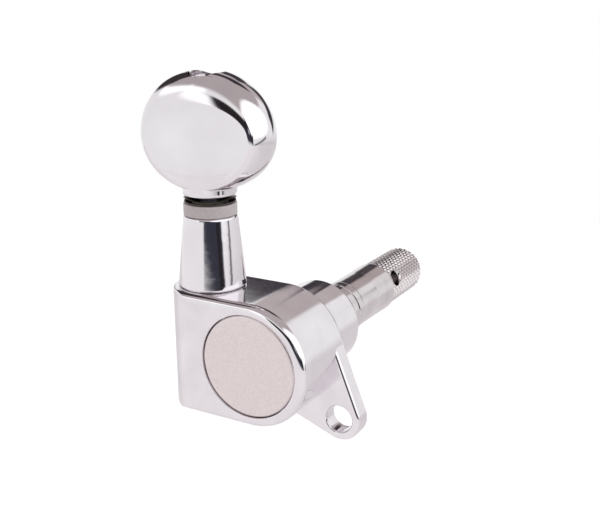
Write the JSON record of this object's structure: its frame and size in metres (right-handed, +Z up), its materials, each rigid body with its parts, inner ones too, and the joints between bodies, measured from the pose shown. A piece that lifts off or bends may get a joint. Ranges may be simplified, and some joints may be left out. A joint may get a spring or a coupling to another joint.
{
  "type": "guitar tuning machine",
  "caption": "Sealed worm-and-gear tuning machine for a guitar: an oval button on a tapered neck turns a string post that passes through the headstock.",
  "frame": {"origin": "where the string post's axis meets the face that lies on the back of the headstock", "axes": "+Y along the post towards the string, +Z up the neck towards the button, +X towards the round side of the gear case"},
  "size_m": [0.0241, 0.0395, 0.0389],
  "materials": {
    "chrome_plate": "mirror plated",
    "satin_chrome": "satin",
    "bushing_steel": "turned",
    "bare_steel": "turned",
    "dark_steel": "blackened",
    "gear_brass": "machined",
    "pale_nylon": "moulded",
    "black_rubber": "moulded"
  },
  "bodies": {
    "gear_case": {"housing": "chrome_plate", "stem_neck": "chrome_plate", "rear_cap": "satin_chrome", "neck_bush": "pale_nylon", "neck_seal_ring": "black_rubber", "lower_shaft_bush": "gear_brass", "lower_thrust_washer": "pale_nylon", "upper_thrust_washer": "pale_nylon", "post_bushing": "bushing_steel", "gear_thrust_washer": "pale_nylon"},
    "button_and_worm": {"worm_shaft": "bare_steel", "tension_flat_washer": "dark_steel", "tension_wave_washer": "dark_steel", "button": "chrome_plate", "button_screw_washer": "pale_nylon"},
    "tension_screw": {"button_screw": "chrome_plate"},
    "post_and_gear": {"string_post": "chrome_plate", "worm_gear": "gear_brass", "gear_lock_washer": "bare_steel", "gear_screw": "bare_steel"}
  },
  "joints": [
    {"name": "button_turn", "type": "hinge", "parent": "gear_case", "child": "button_and_worm", "pos_m": [-0.007, -0.0043, 0], "axis": [0, 0, 1], "continuous": true},
    {"name": "post_turn", "type": "hinge", "parent": "gear_case", "child": "post_and_gear", "pos_m": [0, 0, 0], "axis": [0, 1, 0], "continuous": true},
    {"name": "tension_screw_turn", "type": "hinge", "parent": "button_and_worm", "child": "tension_screw", "pos_m": [-0.007, -0.0043, 0.0282], "axis": [0, 0, 1], "range_deg": [-90, 90]}
  ],
  "couplings": [
    {"joint": "post_turn", "follows": "button_turn", "ratio": -0.066667}
  ]
}
